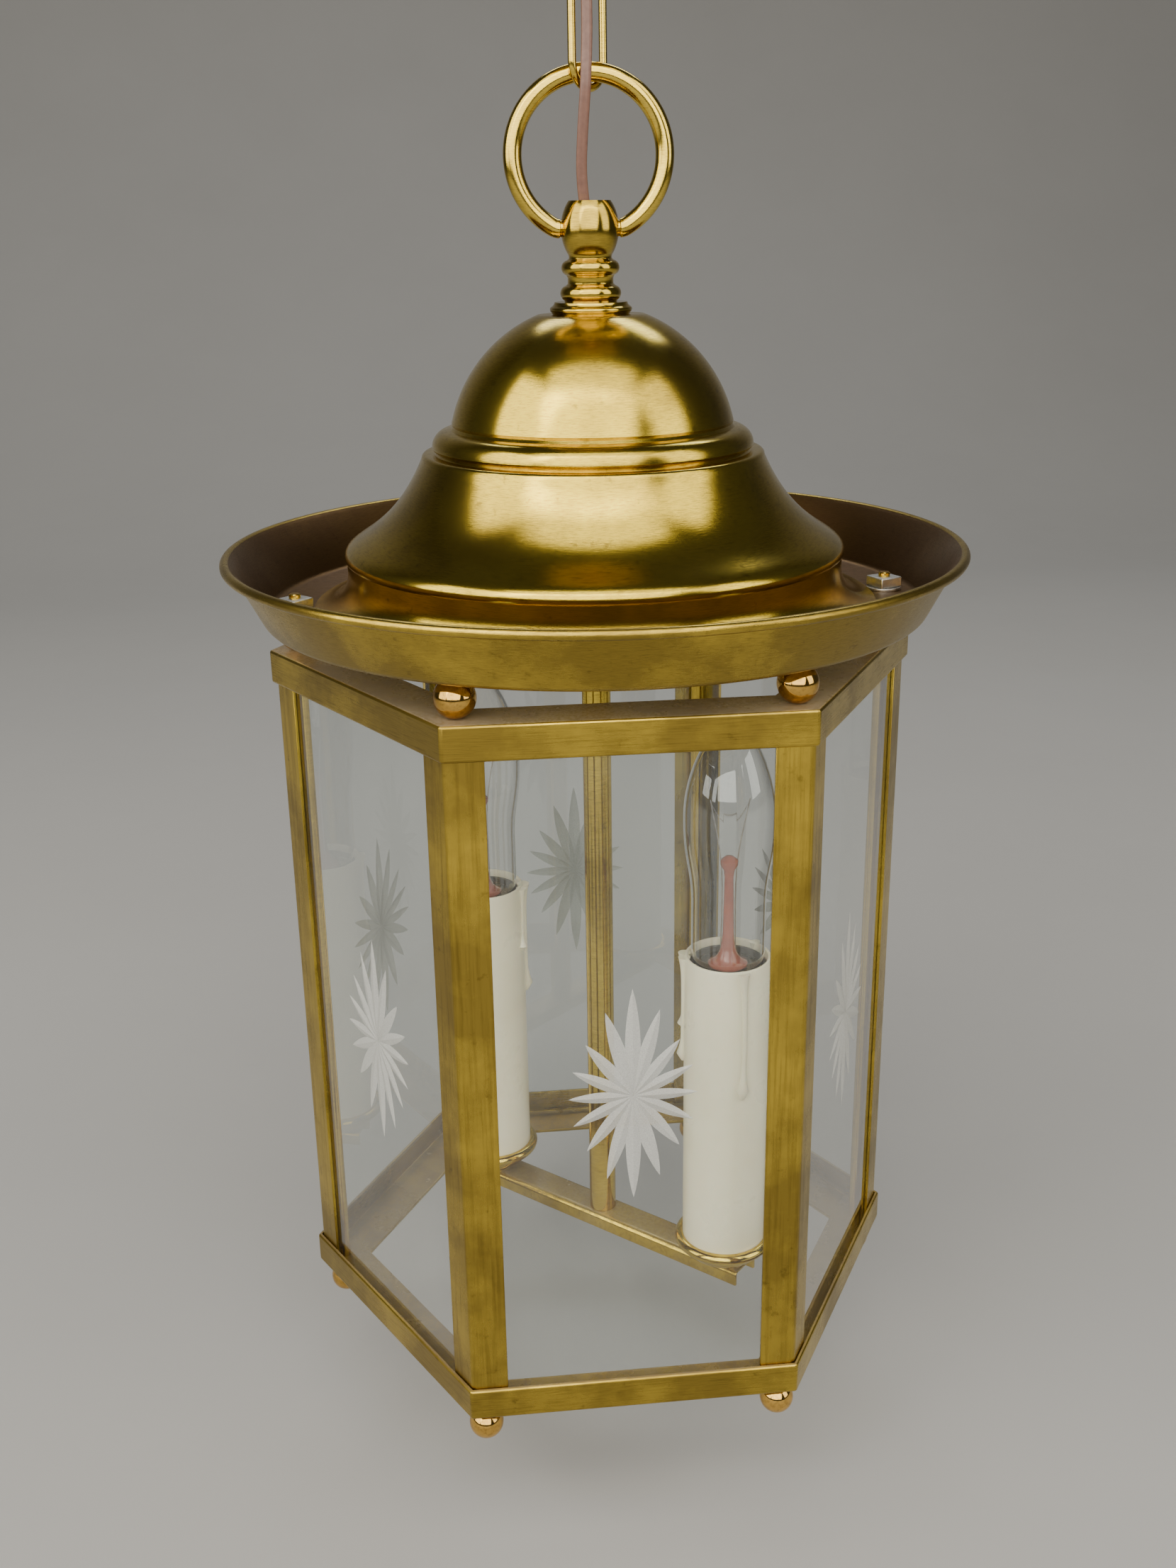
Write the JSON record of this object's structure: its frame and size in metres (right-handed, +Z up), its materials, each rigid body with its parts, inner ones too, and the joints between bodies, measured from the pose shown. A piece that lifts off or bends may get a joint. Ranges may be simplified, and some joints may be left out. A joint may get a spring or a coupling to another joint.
{
  "type": "hanging lantern",
  "caption": "Hexagonal brass and glass hall lantern with candle-style electric lights, a domed cover, ball feet, a hanging ring, chain links and a ceiling canopy.",
  "frame": {"origin": "centre of the two ceiling screws, in the plane where the strap and the canopy meet the ceiling, on the axis of the hanging", "axes": "+Z up along the hanging axis; +X through the corner of the hexagon at the hanging ring's pin, with a window facing -Y"},
  "size_m": [0.2709, 0.271, 0.5902],
  "materials": {
    "aged_brass": "old brass with olive patina and brushed streaks",
    "dull_brass": "spun brass, dulled",
    "bright_brass": "polished brass",
    "copper_brass": "polished brass with a copper tone",
    "zinc": "zinc-plated steel",
    "threaded_pipe": "plain threaded lamp pipe",
    "clear_glass": "clear sheet glass with frosted cut stars",
    "bulb_glass": "thin clear blown glass",
    "ivory_card": "glossy ivory",
    "black_phenolic": "dark moulded plastic",
    "bulb_cap": "thin brass cap",
    "lamp_mount": "pinkish glass stem with wires",
    "cord_brown": "brown plastic cord",
    "lead_dark": "dark insulated lead"
  },
  "bodies": {
    "ceiling": {"mounting_strap": "zinc", "ceiling_nipple": "threaded_pipe", "strap_nut": "zinc", "ceiling_canopy": "aged_brass", "canopy_loop": "bright_brass", "lamp_cord_1": "cord_brown"},
    "upper_link": {"chain_link_upper": "bright_brass", "lamp_cord_2": "cord_brown"},
    "lower_link": {"chain_link_lower": "bright_brass", "lamp_cord_3": "cord_brown"},
    "ring": {"hanging_ring": "bright_brass", "lamp_cord_4": "cord_brown"},
    "lantern": {"ball_finial": "aged_brass", "check_ring": "aged_brass", "dome_cover": "aged_brass", "saucer": "dull_brass", "square_nuts": "zinc", "rod_washers": "zinc", "ball_spacers": "copper_brass", "top_frame": "aged_brass", "corner_post_1": "aged_brass", "corner_post_2": "aged_brass", "corner_post_3": "aged_brass", "corner_post_4": "aged_brass", "corner_post_5": "aged_brass", "corner_post_6": "aged_brass", "glass_panel_1": "clear_glass", "glass_panel_2": "clear_glass", "glass_panel_3": "clear_glass", "glass_panel_4": "clear_glass", "glass_panel_5": "clear_glass", "glass_panel_6": "clear_glass", "tie_rods": "bright_brass", "bottom_frame": "aged_brass", "foot_collars": "bright_brass", "ball_feet": "copper_brass", "stem_pipe": "threaded_pipe", "stem_tube": "bright_brass", "pipe_nut": "zinc", "crossbar": "aged_brass", "socket_nipples": "threaded_pipe", "nipple_nuts": "zinc", "socket_leads": "lead_dark", "candle_cup_right": "bright_brass", "candle_sleeve_right": "ivory_card", "lamp_socket_right": "black_phenolic", "candle_cup_left": "bright_brass", "candle_sleeve_left": "ivory_card", "lamp_socket_left": "black_phenolic"},
    "bulb_right": {"bulb_base_right": "bulb_cap", "bulb_glass_right": "bulb_glass", "bulb_mount_right": "lamp_mount"},
    "bulb_left": {"bulb_base_left": "bulb_cap", "bulb_glass_left": "bulb_glass", "bulb_mount_left": "lamp_mount"}
  },
  "joints": [
    {"name": "upper_link_swing", "type": "hinge", "parent": "ceiling", "child": "upper_link", "pos_m": [0, 0, -0.049], "axis": [0.7071, 0.7071, 0], "range_deg": [-35, 35], "deforming": ["lamp_cord_1"]},
    {"name": "lower_link_swing", "type": "hinge", "parent": "upper_link", "child": "lower_link", "pos_m": [0, 0, -0.08355], "axis": [-0.7071, 0.7071, 0], "range_deg": [-35, 35], "deforming": ["lamp_cord_2"]},
    {"name": "ring_swing", "type": "hinge", "parent": "lower_link", "child": "ring", "pos_m": [0, 0, -0.1136], "axis": [1, 0, 0], "range_deg": [-20, 20], "deforming": ["lamp_cord_3"]},
    {"name": "lantern_tilt", "type": "hinge", "parent": "ring", "child": "lantern", "pos_m": [0, 0, -0.16333], "axis": [1, 0, 0], "range_deg": [-90, 90], "deforming": ["lamp_cord_4"]},
    {"name": "bulb_right_turn", "type": "hinge", "parent": "lantern", "child": "bulb_right", "pos_m": [0.04453, -0.04081, -0.42523], "axis": [0, 0, 1], "range_deg": [0, 360]},
    {"name": "bulb_left_turn", "type": "hinge", "parent": "lantern", "child": "bulb_left", "pos_m": [-0.04453, 0.04081, -0.42523], "axis": [0, 0, 1], "range_deg": [0, 360]}
  ]
}
